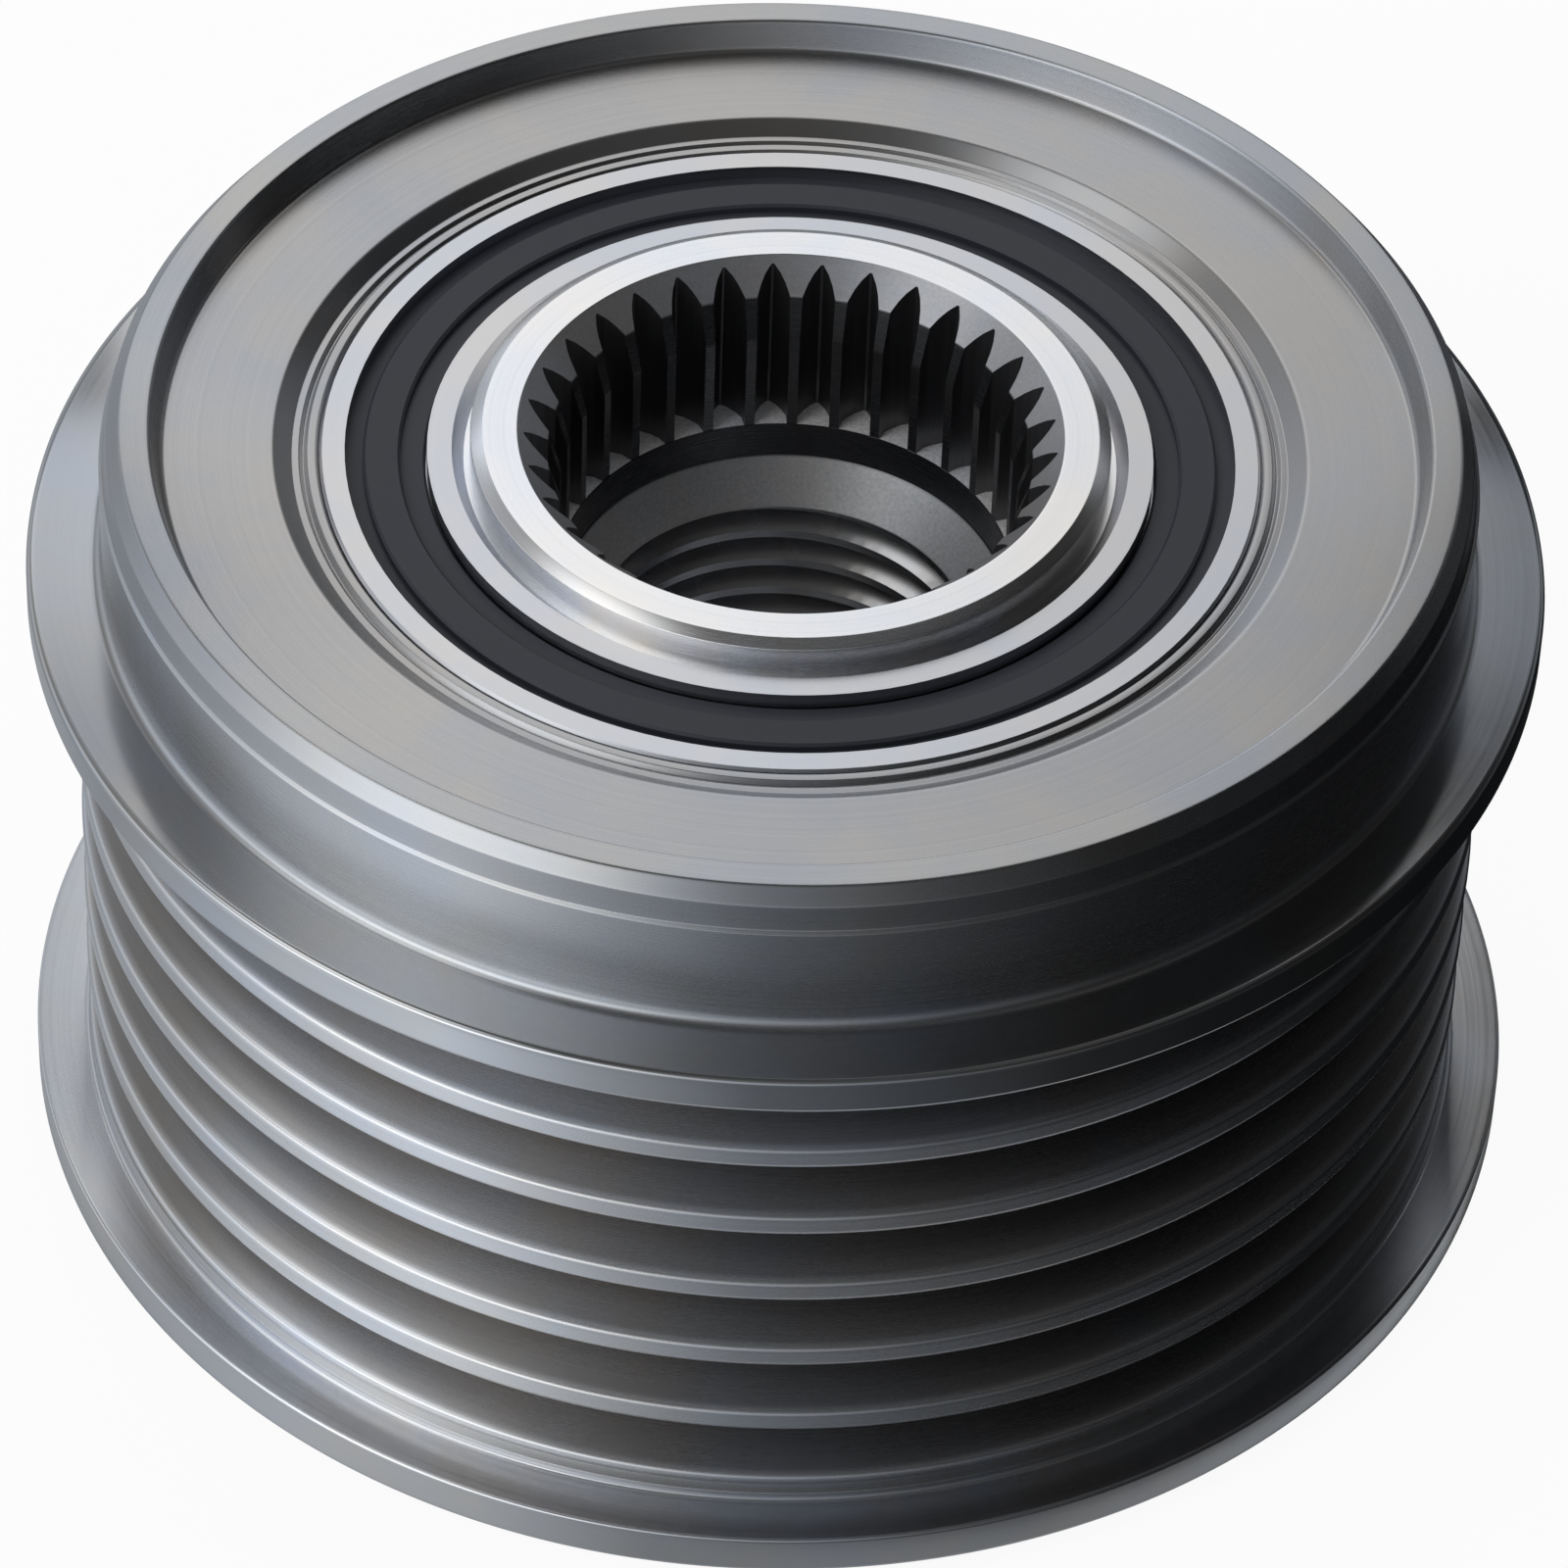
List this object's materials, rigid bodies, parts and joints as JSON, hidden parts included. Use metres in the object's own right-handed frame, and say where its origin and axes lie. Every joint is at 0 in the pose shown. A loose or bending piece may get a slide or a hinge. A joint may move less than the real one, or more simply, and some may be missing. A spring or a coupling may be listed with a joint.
{
  "type": "freewheel alternator pulley",
  "caption": "Flanged ribbed-belt pulley ring on a sealed ball bearing and needle row, with a one-way clutch driving a threaded, serrated hub.",
  "frame": {"origin": "centre of the hub's rear end face, on the axis of rotation", "axes": "+Z along the axis of rotation, from the rotor towards the front face with the tool socket"},
  "size_m": [0.0592, 0.0592, 0.0336],
  "materials": {
    "turned_steel": "satin, turned, lightly oiled",
    "hub_steel": "satin, turned",
    "bearing_steel": "ground",
    "polished_steel": "polished",
    "hardened_steel": "ground, hardened",
    "seal_rubber": "matte, moulded",
    "cage_nylon": "moulded"
  },
  "bodies": {
    "hub": {"hub": "hub_steel", "front_bearing_inner_ring": "bearing_steel", "clutch_inner_ring": "hardened_steel", "clutch_rollers": "polished_steel", "clutch_cage": "cage_nylon", "clutch_springs": "bearing_steel", "divider_washer": "hardened_steel", "front_thrust_washer": "hardened_steel", "rear_thrust_washer": "hardened_steel"},
    "pulley": {"pulley_ring": "turned_steel", "front_bearing_outer_ring": "bearing_steel", "front_bearing_front_seal": "seal_rubber", "front_bearing_rear_seal": "seal_rubber", "clutch_cup": "hardened_steel", "rear_seal_case": "hardened_steel", "rear_seal_lip": "seal_rubber"},
    "front_ball_set": {"front_bearing_balls": "polished_steel", "front_bearing_cage": "cage_nylon"},
    "needle_set": {"needle_rollers": "polished_steel", "needle_cage": "cage_nylon"}
  },
  "joints": [
    {"name": "freewheel", "type": "hinge", "parent": "hub", "child": "pulley", "pos_m": [0, 0, 0.0145], "axis": [0, 0, 1], "continuous": true},
    {"name": "ball_set_orbit", "type": "hinge", "parent": "hub", "child": "front_ball_set", "pos_m": [0, 0, 0.02806], "axis": [0, 0, 1], "continuous": true},
    {"name": "needle_set_orbit", "type": "hinge", "parent": "hub", "child": "needle_set", "pos_m": [0, 0, 0.0093], "axis": [0, 0, 1], "continuous": true}
  ],
  "couplings": [
    {"joint": "ball_set_orbit", "follows": "freewheel", "ratio": 0.5574},
    {"joint": "needle_set_orbit", "follows": "freewheel", "ratio": 0.5347}
  ]
}
